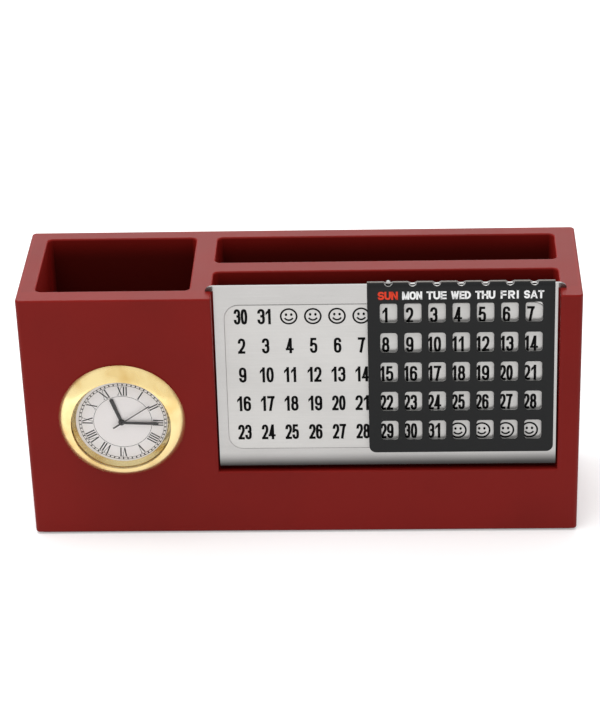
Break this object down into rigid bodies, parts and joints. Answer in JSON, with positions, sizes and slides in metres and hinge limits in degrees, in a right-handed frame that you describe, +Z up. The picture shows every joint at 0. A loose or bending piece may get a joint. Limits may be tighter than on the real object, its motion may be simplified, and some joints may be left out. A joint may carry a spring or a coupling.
{
  "type": "desk organiser",
  "caption": "Painted wooden desk organiser with a pen pocket, two open slots, a small clock and a sliding perpetual calendar on a steel plate.",
  "frame": {"origin": "middle of the felt under the base, on the table", "axes": "X to the right along the front, Y to the rear, Z up"},
  "size_m": [0.2, 0.0583, 0.1013],
  "materials": {
    "maroon_paint": "satin lacquer over board",
    "felt": "felt",
    "screw_steel": "zinc plated",
    "brushed_plate": "brushed",
    "clear_film": "clear film with printed dates",
    "black_lacquer": "satin black",
    "polished_gold": "polished",
    "lens_glass": "clear",
    "dial_enamel": "printed white",
    "case_plastic": "moulded black",
    "grip_rubber": "matt",
    "movement_plastic": "moulded",
    "wheel_brass": "cut",
    "step_nylon": "moulded",
    "rotor_magnet": "ground",
    "hand_lacquer": "dark lacquer",
    "core_steel": "stamped",
    "coil_wire": "enamelled wire",
    "cell_steel": "nickel",
    "board_green": "solder mask"
  },
  "bodies": {
    "housing": {"base_felt": "felt", "base_board": "maroon_paint", "front_board": "maroon_paint", "back_board": "maroon_paint", "left_end_board": "maroon_paint", "right_end_board": "maroon_paint", "pen_divider": "maroon_paint", "slot_wall": "maroon_paint", "slot_floor": "maroon_paint", "base_screws": "screw_steel", "calendar_plate": "brushed_plate", "date_film": "clear_film", "plate_screws": "screw_steel", "clock_bezel": "polished_gold", "clock_lens": "lens_glass", "spacer_ring": "polished_gold", "clock_dial": "dial_enamel", "clock_case": "case_plastic", "grip_ring": "grip_rubber", "battery_cover": "case_plastic", "battery_contact": "cell_steel", "button_cell": "cell_steel", "movement_front_plate": "movement_plastic", "movement_back_plate": "movement_plastic", "movement_screws": "screw_steel", "stator": "core_steel", "coil": "coil_wire", "coil_core": "core_steel", "circuit_board": "board_green", "quartz_crystal": "cell_steel"},
    "slider": {"day_slider": "black_lacquer"},
    "minute": {"minute_hand": "hand_lacquer", "cannon_pinion": "wheel_brass"},
    "setting": {"minute_wheel": "wheel_brass", "setting_knob": "case_plastic"},
    "hour": {"hour_hand": "hand_lacquer", "hour_wheel": "wheel_brass"},
    "seconds": {"second_hand": "hand_lacquer", "second_wheel": "wheel_brass"},
    "third": {"third_wheel": "wheel_brass"},
    "centre": {"centre_wheel": "wheel_brass"},
    "step": {"step_wheel": "step_nylon"},
    "rotor_body": {"rotor": "rotor_magnet"}
  },
  "joints": [
    {"name": "slider_shift", "type": "slide", "parent": "housing", "child": "slider", "axis": [1, 0, 0], "range_m": [-0.05136, 0]},
    {"name": "minute_turn", "type": "hinge", "parent": "housing", "child": "minute", "pos_m": [-0.06492, -0.027, 0.049], "axis": [0, 1, 0], "continuous": true},
    {"name": "setting_turn", "type": "hinge", "parent": "housing", "child": "setting", "pos_m": [-0.06492, -0.027, 0.043], "axis": [0, 1, 0], "continuous": true},
    {"name": "hour_turn", "type": "hinge", "parent": "housing", "child": "hour", "pos_m": [-0.06492, -0.027, 0.049], "axis": [0, 1, 0], "continuous": true},
    {"name": "second_turn", "type": "hinge", "parent": "housing", "child": "seconds", "pos_m": [-0.06492, -0.027, 0.049], "axis": [0, 1, 0], "continuous": true},
    {"name": "third_turn", "type": "hinge", "parent": "housing", "child": "third", "pos_m": [-0.06901, -0.027, 0.05309], "axis": [0, 1, 0], "continuous": true},
    {"name": "centre_turn", "type": "hinge", "parent": "housing", "child": "centre", "pos_m": [-0.06492, -0.027, 0.049], "axis": [0, 1, 0], "continuous": true},
    {"name": "step_turn", "type": "hinge", "parent": "housing", "child": "step", "pos_m": [-0.06193, -0.027, 0.0542], "axis": [0, 1, 0], "continuous": true},
    {"name": "rotor_turn", "type": "hinge", "parent": "housing", "child": "rotor_body", "pos_m": [-0.05732, -0.027, 0.05587], "axis": [0, 1, 0], "continuous": true}
  ],
  "couplings": [
    {"joint": "setting_turn", "follows": "minute_turn", "ratio": -0.33333},
    {"joint": "hour_turn", "follows": "minute_turn", "ratio": 0.083333},
    {"joint": "third_turn", "follows": "second_turn", "ratio": -0.13333},
    {"joint": "centre_turn", "follows": "second_turn", "ratio": 0.016667},
    {"joint": "step_turn", "follows": "second_turn", "ratio": -5},
    {"joint": "rotor_turn", "follows": "second_turn", "ratio": 30}
  ]
}
